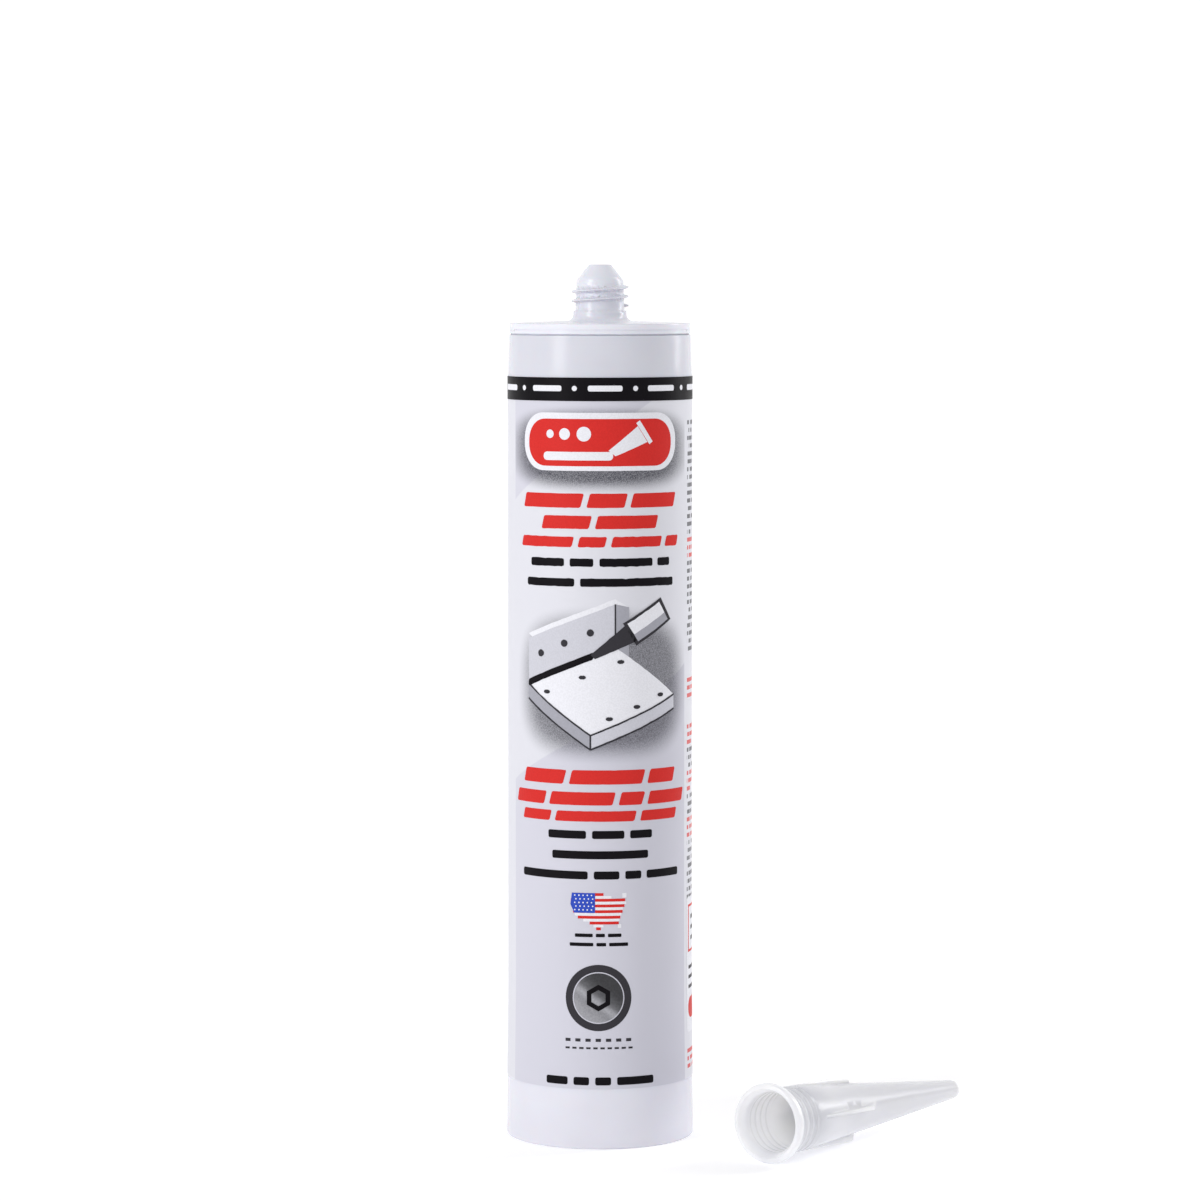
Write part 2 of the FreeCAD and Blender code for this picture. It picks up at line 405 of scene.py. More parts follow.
def wrap_on_film(obj, film, lift=INK_LIFT, thickness=INK_THICKNESS, turn_deg=0.0):
    """Cut a flat print into columns and at the waist, bend it round the barrel, seat and thicken it."""
    look_only_at(obj)
    across = [vertex.co.x for vertex in obj.data.vertices]
    low, high = min(across), max(across)
    bpy.ops.object.mode_set(mode="EDIT")
    for index in range(1, int((high - low) / (COLUMN_STEP * MM)) + 1):
        bpy.ops.mesh.select_all(action="SELECT")
        bpy.ops.mesh.bisect(plane_co=(low + index * COLUMN_STEP * MM, 0, 0), plane_no=(1, 0, 0))
    bpy.ops.mesh.select_all(action="SELECT")
    bpy.ops.mesh.bisect(plane_co=(0, 0, WAIST_HEIGHT * MM), plane_no=(0, 0, 1))
    bpy.ops.mesh.select_all(action="SELECT")
    bpy.ops.object.mode_set(mode="OBJECT")
    bend = obj.modifiers.new("Bend", "SIMPLE_DEFORM")
    bend.deform_method = "BEND"
    bend.deform_axis = "Z"
    bend.angle = (high - low) / (PRINT_RADIUS * MM)
    apply_modifiers(obj)
    bpy.ops.object.mode_set(mode="EDIT")
    bpy.ops.mesh.select_all(action="SELECT")
    bpy.ops.transform.translate(value=(0, -PRINT_RADIUS * MM, 0))
    stand_off = (FILM_HIGH.x + CLEAR_OF_FILM) / PRINT_RADIUS
    bpy.ops.transform.resize(value=(stand_off, stand_off, 1), center_override=(0, 0, 0))
    bpy.ops.object.mode_set(mode="OBJECT")
    if turn_deg:
        obj.rotation_euler.z = math.radians(turn_deg)
        bpy.ops.object.transform_apply(location=True, rotation=True, scale=True)
    seat = obj.modifiers.new("Seat", "SHRINKWRAP")
    seat.target = film
    seat.wrap_method = "NEAREST_SURFACEPOINT"
    seat.wrap_mode = "ABOVE_SURFACE"
    seat.offset = lift * MM
    wall = obj.modifiers.new("Thickness", "SOLIDIFY")
    wall.thickness = thickness * MM
    wall.offset = 1
    apply_modifiers(obj)
    return obj


def smooth_copy(name, node, angle_deg=20):
    """A merged, smoothly shaded copy of a CAD node, which it replaces."""
    source = frame["nodes"][node]
    copy = bpy.data.objects.new(name, source.data.copy())
    bpy.context.scene.collection.objects.link(copy)
    look_only_at(copy)
    bpy.ops.object.mode_set(mode="EDIT")
    bpy.ops.mesh.select_all(action="SELECT")
    bpy.ops.mesh.remove_doubles(threshold=0.000002)
    bpy.ops.object.mode_set(mode="OBJECT")
    bpy.ops.object.shade_smooth_by_angle(angle=math.radians(angle_deg))
    even = copy.modifiers.new("Even shading", "WEIGHTED_NORMAL")
    even.keep_sharp = True
    apply_modifiers(copy)
    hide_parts(node)
    return copy


class CARTRIDGE_OT_plastics(bpy.types.Operator):
    """Finish the moulded pieces: barrel, head and piston"""
    bl_idname = "cartridge.plastics"
    bl_label = "Moulded pieces"

    def execute(self, context):
        finish = context.scene.cartridge_finish
        gloss = finish.plastic_roughness
        white = moulded_plastic("barrel_polyethylene", finish.barrel_plastic, gloss, filled=0.9)
        # The head's lighter white is partly painted light from above on the spout
        bright = moulded_plastic("head_polyethylene", finish.head_plastic, gloss, 0.02, 0.000004)
        natural = moulded_plastic("piston_polyethylene", finish.piston_plastic, 0.45, 0.06)
        finish_piece(smooth_copy("barrel_tube", "barrel"), white, "cartridge")
        finish_piece(smooth_copy("head_and_spout", "head"), bright, "cartridge")
        finish_piece(smooth_copy("piston_cup", "piston"), natural, "piston")
        return {"FINISHED"}


class CARTRIDGE_OT_nozzle(bpy.types.Operator):
    """Finish the translucent nozzle that lies beside the cartridge"""
    bl_idname = "cartridge.nozzle"
    bl_label = "Nozzle"

    # In millimetres behind the flange's face: the ripples that the thread leaves on the outside,
    # and the stretch along which the wall comes to spread light less
    RIPPLE_PITCH = 2.42
    RIPPLES = (3.0, 14.0)
    SPREADING = (8.0, 22.0)

    def execute(self, context):
        finish = context.scene.cartridge_finish
        recipe = Recipe("milky_polyethylene")
        cloud = recipe.ramp(recipe.noise(90.0), 0.3, 0.7)
        thin = dimmed(finish.milky_plastic, 0.99)
        heading = math.radians(NOZZLE_HEADING)
        tilt = math.radians(NOZZLE_TILT)
        axis = (math.sin(heading) * math.cos(tilt), math.cos(heading) * math.cos(tilt), -math.sin(tilt))
        face = [place * MM for place in NOZZLE_FACE]
        from_face = recipe.node("VectorMath", {"operation": "SUBTRACT"})
        recipe.put(from_face.inputs[0], recipe.place)
        recipe.put(from_face.inputs[1], face)
        along = recipe.node("VectorMath", {"operation": "DOT_PRODUCT"})
        recipe.put(along.inputs[0], from_face.outputs["Vector"])
        recipe.put(along.inputs[1], axis)
        depth = recipe.sum("MULTIPLY", along.outputs["Value"], 1 / MM)
        ripple = recipe.sum("SINE", recipe.sum("MULTIPLY", depth, 2 * math.pi / self.RIPPLE_PITCH))
        first, last = self.RIPPLES
        shown = recipe.sum("MULTIPLY", recipe.ramp(depth, first, first + 1.0),
                           recipe.ramp(depth, last - 3.0, last, 1.0, 0.0))
        mottle = recipe.sum("MULTIPLY", recipe.noise(700.0, 3.0), 0.15)
        recipe.bump(recipe.sum("ADD", recipe.sum("MULTIPLY", ripple, shown), mottle), 0.00012)
        milky = recipe.finish(
            Base_Color=recipe.mix(cloud, colour(thin), colour(finish.milky_plastic)),
            Roughness=0.24, IOR=1.5, Transmission_Weight=0.02, Subsurface_Weight=0.85,
            Subsurface_Radius=(1.0, 1.0, 0.85),
            Subsurface_Scale=recipe.ramp(depth, *self.SPREADING, 0.025, 0.005))
        finish_piece(smooth_copy("screw_on_nozzle", "nozzle"), milky, "cartridge")
        return {"FINISHED"}


class CARTRIDGE_OT_sealant(bpy.types.Operator):
    """Fill the barrel: a column as long as the piston's travel, and what stays in the head"""
    bl_idname = "cartridge.sealant"
    bl_label = "Sealant"

    # Hollow of the head and its spout, and the paste's clearances, in millimetres
    HEAD_RADIUS = 21.85
    HEAD_TOP = 213.2
    THROAT_RADIUS = 4.9
    THROAT_TOP = 226.2
    TIP_RADIUS = 2.1
    CLEARANCE = 0.03
    STOP_GAP = 0.3

    def execute(self, context):
        finish = context.scene.cartridge_finish
        recipe = Recipe("sealant_paste")
        recipe.bump(recipe.noise(250.0, 4.0), 0.0001)
        paste = recipe.finish(
            Base_Color=recipe.mix(recipe.noise(120.0), colour(finish.sealant_colour),
                                  (0.02, 0.02, 0.021, 1)),
            Roughness=0.38)
        clearance = self.CLEARANCE
        joint = frame["joints"][0]
        travel = joint["range_m"][1] / MM
        column_top = SEALANT_LOW.z + travel + self.STOP_GAP
        radius = SEALANT_HIGH.x - clearance
        column = self.turned_fill("sealant_column", [
            (radius, SEALANT_LOW.z + clearance), (radius, column_top)])
        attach(column, "cartridge")
        finish_piece(column, paste, "cartridge")
        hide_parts("sealant")
        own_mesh(column)
        hollow = self.HEAD_RADIUS - clearance
        throat = self.THROAT_RADIUS - clearance
        ceiling = self.HEAD_TOP - clearance
        front = self.turned_fill("sealant_in_head", [
            (hollow, column_top + clearance), (hollow, ceiling), (throat, ceiling),
            (throat, self.THROAT_TOP - clearance), (self.TIP_RADIUS, SEALANT_HIGH.z - clearance)])
        finish_piece(front, paste, "cartridge")
        return {"FINISHED"}

    @staticmethod
    def turned_fill(name, rings):
        """A closed round body through (radius, height) rings, from the lowest up."""
        look_only_at(None)
        first = rings[0]
        bpy.ops.mesh.primitive_circle_add(vertices=96, radius=first[0] * MM, fill_type="NGON",
                                          location=(0, 0, first[1] * MM))
        obj = bpy.context.object
        obj.name = name
        bpy.ops.object.transform_apply(location=True, rotation=True, scale=True)
        bpy.ops.object.mode_set(mode="EDIT")
        bpy.ops.mesh.select_all(action="SELECT")
        previous = first
        for radius, height in rings[1:]:
            bpy.ops.mesh.extrude_region_move(
                TRANSFORM_OT_translate={"value": (0, 0, (height - previous[1]) * MM)})
            share = radius / previous[0]
            bpy.ops.transform.resize(value=(share, share, 1), center_override=(0, 0, height * MM))
            previous = (radius, height)
        bpy.ops.mesh.select_all(action="SELECT")
        bpy.ops.mesh.normals_make_consistent(inside=False)
        bpy.ops.object.mode_set(mode="OBJECT")
        bpy.ops.object.shade_smooth_by_angle(angle=math.radians(35))
        return obj


def film_material(finish, inks):
    """White film with its printed fields: grey panel, pale diagonal, soft shadows and small print."""
    recipe = Recipe("printed_film")
    split = recipe.node("SeparateXYZ", Vector=recipe.place)
    x, y, z = split.outputs
    turn = recipe.sum("ARCTAN2", x, recipe.sum("MULTIPLY", y, -1.0))
    across = recipe.sum("MULTIPLY", turn, PRINT_RADIUS)
    up = recipe.sum("MULTIPLY", z, 1 / MM)
    edge = 0.05

    def below(value, limit):
        return recipe.ramp(value, limit - edge, limit + edge, 1.0, 0.0)

    def above(value, limit):
        return recipe.ramp(value, limit - edge, limit + edge)

    def both(first, second):
        return recipe.sum("MULTIPLY", first, second)

    def soft_shadow(centre_across, centre_up, half_width, half_height, reach, depth, power=3.0):
        """Darkness round a rounded field, full at its edge and gone at reach times its size."""
        wide = recipe.sum("DIVIDE", recipe.sum("SUBTRACT", across, centre_across), half_width)
        tall = recipe.sum("DIVIDE", recipe.sum("SUBTRACT", up, centre_up), half_height)
        total = recipe.sum("ADD", recipe.sum("POWER", recipe.sum("ABSOLUTE", wide), power),
                           recipe.sum("POWER", recipe.sum("ABSOLUTE", tall), power))
        distance = recipe.sum("POWER", total, 1 / power)
        return recipe.ramp(distance, 0.88, reach, depth, 0.0)

    panel = both(below(recipe.sum("ABSOLUTE", across), PANEL_HALF_WIDTH), below(up, BAND_BOTTOM))
    upper_line = recipe.sum("SUBTRACT", up, recipe.sum("MULTIPLY_ADD", across, 0.62, 186.3))
    lower_line = recipe.sum("SUBTRACT", up, recipe.sum("MULTIPLY_ADD", across, 0.55, 111.0))
    diagonal = both(recipe.ramp(upper_line, -0.3, 0.3, 1.0, 0.0), recipe.ramp(lower_line, -0.3, 0.3))
    lightness = recipe.ramp(across, -PANEL_HALF_WIDTH, PANEL_HALF_WIDTH, 1.03, 0.97)
    grey = recipe.node("Mix", {"data_type": "RGBA", "blend_type": "MULTIPLY"})
    grey.inputs[0].default_value = 1.0
    recipe.put(grey.inputs[6], colour(finish.panel_grey))
    shade = recipe.node("CombineColor", Red=lightness, Green=lightness, Blue=lightness)
    recipe.put(grey.inputs[7], shade.outputs["Color"])
    field = recipe.mix(both(panel, recipe.sum("SUBTRACT", 1.0, diagonal)), colour(finish.film_white),
                       grey.outputs[2])
    badge_drop = 2.0
    badge_shadow = soft_shadow(BADGE_MIDDLE[0], BADGE_MIDDLE[1] - badge_drop, 22.9, 8.4, 1.40, 0.86)
    drawing_shadow = soft_shadow(*DRAWING_MIDDLE, 21.2, 16.0, 1.32, 0.75)
    shadow = recipe.sum("MULTIPLY", recipe.sum("MAXIMUM", badge_shadow, drawing_shadow), panel)
    halftone = recipe.ramp(recipe.noise(4200.0, 1.0), 0.3, 0.7, 0.82, 1.18)
    shadow = recipe.sum("MULTIPLY", shadow, halftone)
    field = recipe.mix(shadow, field, (0.06, 0.06, 0.075, 1))

    # Small print on the right side and the back: columns of word bars, some paragraphs in red
    pitch = 2.05
    lines = recipe.sum("DIVIDE", up, pitch)
    line = recipe.sum("FLOOR", lines)
    in_line = recipe.ramp(recipe.sum("FRACT", lines), 0.50, 0.56, 1.0, 0.0)
    columns = 3
    column_width, column_gap = 24.0, 3.0
    column_pitch = column_width + column_gap
    text_bottom, text_top = 18.5, 190.0
    around = 2 * math.pi * PRINT_RADIUS
    margin = PANEL_HALF_WIDTH + 1.9
    from_margin = recipe.sum("SUBTRACT", recipe.sum("FLOORED_MODULO", across, around), margin)
    column = recipe.sum("MODULO", from_margin, column_pitch)
    inside = both(both(above(from_margin, 0.0), below(from_margin, columns * column_pitch)),
                  both(above(column, 0.0), below(column, column_width)))
    inside = both(inside, both(above(up, text_bottom), below(up, text_top)))
    words = recipe.node("TexNoise", {"noise_dimensions": "2D"}, Scale=1.0, Detail=0.0)
    spot = recipe.node("CombineXYZ", X=recipe.sum("MULTIPLY", across, 0.62),
                       Y=recipe.sum("MULTIPLY", line, 7.3))
    recipe.put(words.inputs["Vector"], spot.outputs[0])
    word = recipe.ramp(words.outputs["Fac"], 0.37, 0.40)
    chapter = recipe.node("TexWhiteNoise", {"noise_dimensions": "1D"},
                          W=recipe.sum("FLOOR", recipe.sum("DIVIDE", line, 3.0)))
    paragraph = recipe.ramp(chapter.outputs["Value"], 0.08, 0.12)
    small = both(both(in_line, word), both(inside, paragraph))
    is_red = recipe.ramp(chapter.outputs["Value"], 0.72, 0.74)
    small_ink = recipe.mix(is_red, (0.07, 0.07, 0.08, 1), colour(inks.red))
    field = recipe.mix(recipe.sum("MULTIPLY", small, 0.92), field, small_ink)

    recipe.bump(recipe.noise(500.0, 2.0), 0.00001)
    return recipe.finish(
        Base_Color=field,
        Specular_IOR_Level=0.2,
        Roughness=recipe.ramp(recipe.noise(90.0), 0.0, 1.0, finish.film_roughness * 0.85,
                              finish.film_roughness * 1.15))


class CARTRIDGE_OT_film(bpy.types.Operator):
    """Wrap the printed film round the barrel, with its lap at the back"""
    bl_idname = "cartridge.film"
    bl_label = "Printed film"

    def execute(self, context):
        scene = context.scene
        look_only_at(None)
        foot_radius = FILM_HIGH.x
        bpy.ops.mesh.primitive_circle_add(vertices=FILM_SEGMENTS, radius=foot_radius * MM,
                                          location=(0, 0, FILM_LOW.z * MM))
        film = context.object
        film.name = "film_wrap"
        bpy.ops.object.transform_apply(location=True, rotation=True, scale=True)
        bpy.ops.object.mode_set(mode="EDIT")
        bpy.ops.mesh.select_all(action="SELECT")
        previous_radius, previous_height = foot_radius, FILM_LOW.z
        for radius, height in ((WAIST_RADIUS, WAIST_HEIGHT), (TOP_RADIUS, FILM_HIGH.z)):
            bpy.ops.mesh.extrude_edges_move(
                TRANSFORM_OT_translate={"value": (0, 0, (height - previous_height) * MM)})
            share = radius / previous_radius
            bpy.ops.transform.resize(value=(share, share, 1), center_override=(0, 0, height * MM))
            previous_radius, previous_height = radius, height
        bpy.ops.mesh.select_all(action="SELECT")
        bpy.ops.mesh.normals_make_consistent(inside=False)
        bpy.ops.object.mode_set(mode="OBJECT")
        wall = film.modifiers.new("Thickness", "SOLIDIFY")
        wall.thickness = FILM_THICKNESS * MM
        wall.offset = -1
        apply_modifiers(film)
        bpy.ops.object.shade_smooth_by_angle(angle=math.radians(35))
        material = film_material(scene.cartridge_finish, scene.cartridge_inks)
        finish_piece(film, material, "cartridge")
        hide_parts("label")

        lap = new_outline("film_lap")
        add_block(0, (FILM_LOW.z + FILM_HIGH.z) / 2, LAP_WIDTH, FILM_HIGH.z - FILM_LOW.z)
        wrap_on_film(lap, film, 0.0, FILM_THICKNESS / 2, 180)
        finish_piece(lap, material, "cartridge")
        return {"FINISHED"}


class PrintOperator:
    """What the operators of the print share."""

    def print_on_film(self, obj, material, layer=0, turn_deg=0.0):
        """Wrap a print round the barrel, on top of as many layers of ink as layer says."""
        lift = INK_LIFT + layer * INK_THICKNESS
        wrap_on_film(obj, bpy.data.objects["film_wrap"], lift, turn_deg=turn_deg)
        return finish_piece(obj, material, "cartridge")

    def ink(self, context, name, roughness=0.42):
        """The material of one ink, made once."""
        existing = bpy.data.materials.get(name + "_ink")
        return existing or ink(name + "_ink", getattr(context.scene.cartridge_inks, name), roughness)


class CARTRIDGE_OT_band(PrintOperator, bpy.types.Operator):
    """Black band at the top of the film, with white dots and short bars all the way round"""
    bl_idname = "cartridge.band"
    bl_label = "Band"

    def execute(self, context):
        black = self.ink(context, "black")
        over_lap = 2
        band_top = FILM_HIGH.z - 0.05
        half_round = math.pi * PRINT_RADIUS
        for name, turn_deg in (("band_front", 0.0), ("band_back", 180.0)):
            field = new_outline(name)
            add_block(0, (BAND_BOTTOM + band_top) / 2, half_round, band_top - BAND_BOTTOM)
            self.print_on_film(field, black, over_lap, turn_deg)
        middle = 198.35
        spacing = 16.1
        first = -6.7 - 4 * spacing
        dots = [first + index * spacing for index in range(9)]
        bars = new_outline("band_bars")
        for dot in dots:
            add_block(dot + spacing / 2, middle, 9.0, 1.5)
        round_corners(0.5, 4)
        self.print_on_film(bars, self.ink(context, "white"), over_lap + 1)
        marks = new_outline("band_dots")
        for dot in dots:
            add_disc(dot, middle, 0.68, corners=24)
        self.print_on_film(marks, self.ink(context, "white"), over_lap + 1)
        return {"FINISHED"}


class CARTRIDGE_OT_badge(PrintOperator, bpy.types.Operator):
    """Plain red badge with a white border, and a white nozzle that lays a bead"""
    bl_idname = "cartridge.badge"
    bl_label = "Badge"

    def execute(self, context):
        border = new_outline("badge_border")
        add_block(*BADGE_MIDDLE, 45.4, 15.0)
        round_corners(7.0, 14)
        self.print_on_film(border, self.ink(context, "white"))
        field = new_outline("badge_field")
        add_block(0.0, 184.4, 41.6, 12.2)
        round_corners(5.7, 14)
        self.print_on_film(field, self.ink(context, "red"), 1)
        bead = new_outline("badge_bead")
        add_block(-6.1, 180.9, 19.0, 2.2)
        round_corners(1.05, 6)
        self.print_on_film(bead, self.ink(context, "white"), 2)
        nozzle = new_outline("badge_nozzle")
        add_quad([(2.2, 182.3), (4.0, 180.9), (12.8, 184.5), (10.0, 188.6)])
        add_quad([(9.6, 189.4), (13.4, 183.9), (14.4, 184.6), (10.6, 190.1)])
        self.print_on_film(nozzle, self.ink(context, "white"), 2)
        drops = new_outline("badge_drops")
        for across, radius in ((-13.6, 1.1), (-9.4, 1.5), (-4.2, 1.9)):
            add_disc(across, 186.6, radius, corners=32)
        self.print_on_film(drops, self.ink(context, "white"), 2)
        return {"FINISHED"}


class CARTRIDGE_OT_headlines(PrintOperator, bpy.types.Operator):
    """Slanted red bars and upright black bars, in two groups"""
    bl_idname = "cartridge.headlines"
    bl_label = "Headlines"

    def execute(self, context):
        red = new_outline("red_headlines")
        add_bars(169.4, 3.7, -23.0, 21.8, (9, 5, 7), 1.0)
        add_bars(163.8, 3.4, -16.4, 15.4, (4, 5), 0.9)
        add_bars(158.7, 2.7, -24.0, 23.2, (7, 3, 6, 2), 0.7)
        add_bars(97.6, 3.7, -23.0, 21.6, (6, 9, 4), 1.0)
        add_bars(92.0, 3.4, -26.4, 25.8, (5, 8, 3, 6), 0.9)
        add_bars(87.4, 2.7, -23.4, 22.6, (4, 9, 5), 0.7)
        round_corners(0.5, 4)
        self.print_on_film(red, self.ink(context, "red"))
        black = new_outline("black_lines")
        add_bars(153.4, 2.1, -20.0, 20.2, (5, 3, 7, 2))
        add_bars(148.2, 2.1, -21.4, 21.6, (6, 11))
        add_bars(82.6, 2.1, -14.2, 14.3, (5, 4, 3))
        add_bars(77.3, 2.1, -13.0, 13.1, (1,))
        add_bars(72.0, 2.1, -23.2, 23.8, (9, 3, 2, 5))
        add_bars(18.0, 2.1, -14.6, 14.6, (3, 2, 2, 5))
        round_corners(0.5, 4)
        self.print_on_film(black, self.ink(context, "black"))
        return {"FINISHED"}


class CARTRIDGE_OT_drawing(PrintOperator, bpy.types.Operator):
    """Drawing of two boards whose joint is being filled with a bead"""
    bl_idname = "cartridge.drawing"
    bl_label = "Drawing"

    def execute(self, context):
        tops = new_outline("drawing_board_tops")
        add_quad([(-21.0, 121.5), (4.0, 131.5), (22.0, 118.5), (-2.5, 108.5)])
        add_quad([(-21.0, 134.5), (4.0, 144.0), (7.6, 141.8), (-17.4, 132.3)])
        self.print_on_film(tops, self.ink(context, "white"))
        faces = new_outline("drawing_board_faces")
        add_quad([(-21.0, 121.5), (4.0, 131.5), (4.0, 142.6), (-21.0, 133.2)])
        add_quad([(-2.5, 108.5), (22.0, 118.5), (22.0, 114.8), (-2.5, 104.8)])
        self.print_on_film(faces, self.ink(context, "pale_grey"), 1)
        sides = new_outline("drawing_board_edges")
        add_quad([(-21.0, 121.5), (-2.5, 108.5), (-2.5, 104.8), (-21.0, 117.6)])
        add_quad([(4.0, 131.5), (7.6, 128.9), (7.6, 141.8), (4.0, 142.6)])
        self.print_on_film(sides, self.ink(context, "mid_grey"), 2)
        lines = new_outline("drawing_outlines")
        for start, end in (((-21.0, 121.5), (-2.5, 108.5)), ((-2.5, 108.5), (22.0, 118.5)),
                           ((-2.5, 104.8), (-2.5, 108.5)), ((4.0, 131.5), (4.0, 142.6)),
                           ((-21.0, 117.6), (-2.5, 104.8)), ((-2.5, 104.8), (22.0, 114.8))):
            run = Vector(end) - Vector(start)
            side = Vector((-run.y, run.x)).normalized() * 0.22
            add_quad([tuple(Vector(corner) + side * sign)
                      for corner, sign in ((start, -1), (end, -1), (end, 1), (start, 1))])
        self.print_on_film(lines, self.ink(context, "dark_grey"), 3)
        screws = new_outline("drawing_screws")
        for across, up in ((-14.6, 119.6), (-4.6, 123.6), (5.4, 127.6),
                           (2.4, 112.8), (9.8, 115.8), (17.0, 118.7)):
            add_disc(across, up, 0.95, 0.55, 20)
        for across in (-16.5, -9.5, -2.5):
            add_disc(across, 129.6 + (across + 16.5) * 0.4, 0.95, 1.0, 20)
        self.print_on_film(screws, self.ink(context, "dark_grey"), 3)
        bead = new_outline("drawing_bead")
        add_quad([(-21.0, 120.7), (-1.6, 128.4), (-1.6, 130.2), (-21.0, 122.5)])
        round_corners(0.6, 4)
        self.print_on_film(bead, self.ink(context, "black"), 3)
        nozzle = new_outline("drawing_nozzle")
        add_quad([(-2.5, 129.5), (-1.3, 128.4), (9.8, 133.0), (7.0, 137.4)])
        add_quad([(6.0, 137.6), (9.6, 131.8), (20.6, 138.2), (17.0, 144.0)])
        self.print_on_film(nozzle, self.ink(context, "dark_grey"), 4)
        body = new_outline("drawing_tube_body")
        add_quad([(7.2, 137.5), (10.1, 132.9), (19.4, 138.3), (16.5, 142.9)])
        self.print_on_film(body, self.ink(context, "white"), 5)
        shade = new_outline("drawing_tube_shade")
        add_quad([(9.0, 134.7), (10.1, 132.9), (19.4, 138.3), (18.3, 140.1)])
        self.print_on_film(shade, self.ink(context, "mid_grey"), 6)
        return {"FINISHED"}


class CARTRIDGE_OT_figure(PrintOperator, bpy.types.Operator):
    """Small figure of red stripes with a dotted blue field, and two thin lines below it"""
    bl_idname = "cartridge.figure"
    bl_label = "Striped figure"

    # Left and right end of each stripe, from the top one down
    STRIPES = (
        (-7.3, 0.9), (-7.6, 3.0), (-7.7, 6.6), (-7.6, 6.9), (-7.5, 6.4), (-7.3, 6.0), (-7.1, 5.9),
        (-6.6, 5.6), (-5.8, 5.3), (-4.4, 5.1), (-2.7, 4.9), (-1.7, 0.9), (-1.0, 0.2),
    )

    def execute(self, context):
        bottom, top = 57.7, 67.4
        pitch = (top - bottom) / len(self.STRIPES)
        ground = new_outline("figure_ground")
        for index, (left, right) in enumerate(self.STRIPES):
            add_block((left + right) / 2, top - pitch * (index + 0.5), right - left, pitch)
        add_block(5.1, top - pitch * 11.6, 0.9, pitch * 1.3)
        add_block(6.4, top - pitch * 0.9, 1.1, pitch * 1.6)
        self.print_on_film(ground, self.ink(context, "white"))
        stripes = new_outline("figure_stripes")
        for index, (left, right) in enumerate(self.STRIPES[::2]):
            add_block((left + right) / 2, top - pitch * (2 * index + 0.5), right - left, pitch)
        self.print_on_film(stripes, self.ink(context, "red"), 1)
        field = new_outline("figure_field")
        add_quad([(-7.8, top - 3.0), (-6.8, top - 5.2), (-1.3, top - 5.2), (-1.3, top - 2.6)])
        add_quad([(-7.8, top - 3.0), (-1.3, top - 2.7), (-1.3, top), (-7.4, top)])
        self.print_on_film(field, self.ink(context, "blue"), 2)
        dots = new_outline("figure_dots")
        for row in range(5):
            for column in range(5):
                add_disc(-6.6 + 1.1 * column + 0.3 * (row % 2), top - 0.6 - 0.95 * row, 0.2, corners=10)
        self.print_on_film(dots, self.ink(context, "white"), 3)
        lines = new_outline("figure_lines")
        add_bars(56.3, 0.9, -6.6, 5.6, (4, 2, 3), gap=0.8)
        add_bars(53.9, 0.9, -8.0, 7.4, (5, 2, 4), gap=0.8)
        round_corners(0.2)
        self.print_on_film(lines, self.ink(context, "black"))
        return {"FINISHED"}


class CARTRIDGE_OT_emblem(PrintOperator, bpy.types.Operator):
    """Dark ring round a brushed grey disc with a hexagon, and two thin grey lines below it"""
    bl_idname = "cartridge.emblem"
    bl_label = "Round emblem"

    def execute(self, context):
        centre = (-0.4, 39.9)
        ring = new_outline("emblem_ring")
        add_ring(*centre, 8.7, 6.8)
        self.print_on_film(ring, self.ink(context, "dark_grey"))
        disc = new_outline("emblem_disc")
        add_disc(*centre, 6.5, corners=64)
        recipe = Recipe("brushed_grey_ink")
        split = recipe.node("SeparateXYZ", Vector=recipe.place)
        height = recipe.sum("SUBTRACT", recipe.sum("MULTIPLY", split.outputs["Z"], 1 / MM), centre[1])
        across = recipe.sum("SUBTRACT", recipe.sum("MULTIPLY", split.outputs["X"], 1 / MM), centre[0])
        slope = recipe.sum("ADD", recipe.sum("MULTIPLY", height, 0.8), recipe.sum("MULTIPLY", across, 0.6))
        tone = recipe.ramp(slope, -6.5, 4.0, 0.34, 0.05)
        glint = recipe.ramp(recipe.sum("ABSOLUTE", recipe.sum("ADD", slope, 1.2)), 0.0, 1.8, 0.16, 0.0)
        level = recipe.sum("ADD", tone, glint)
        streak = recipe.sum("MULTIPLY", level, recipe.ramp(recipe.noise(2000.0), 0.3, 0.7, 0.9, 1.1))
        cool = recipe.sum("MULTIPLY", streak, 1.08)
        shade = recipe.node("CombineColor", Red=streak, Green=streak, Blue=cool)
        brushed = recipe.finish(Base_Color=shade.outputs["Color"], Roughness=0.40, Specular_IOR_Level=0.12)
        self.print_on_film(disc, brushed)
        middle = new_outline("emblem_middle")
        add_ring(*centre, 3.5, 2.3, corners=6)
        self.print_on_film(middle, self.ink(context, "black"), 1)
        lines = new_outline("emblem_lines")
        add_bars(28.8, 0.8, -9.1, 8.2, (1,) * 7, gap=1.3)
        add_bars(26.7, 0.5, -9.1, 8.6, (1,) * 10, gap=0.7)
        self.print_on_film(lines, self.ink(context, "dark_grey"))
        return {"FINISHED"}


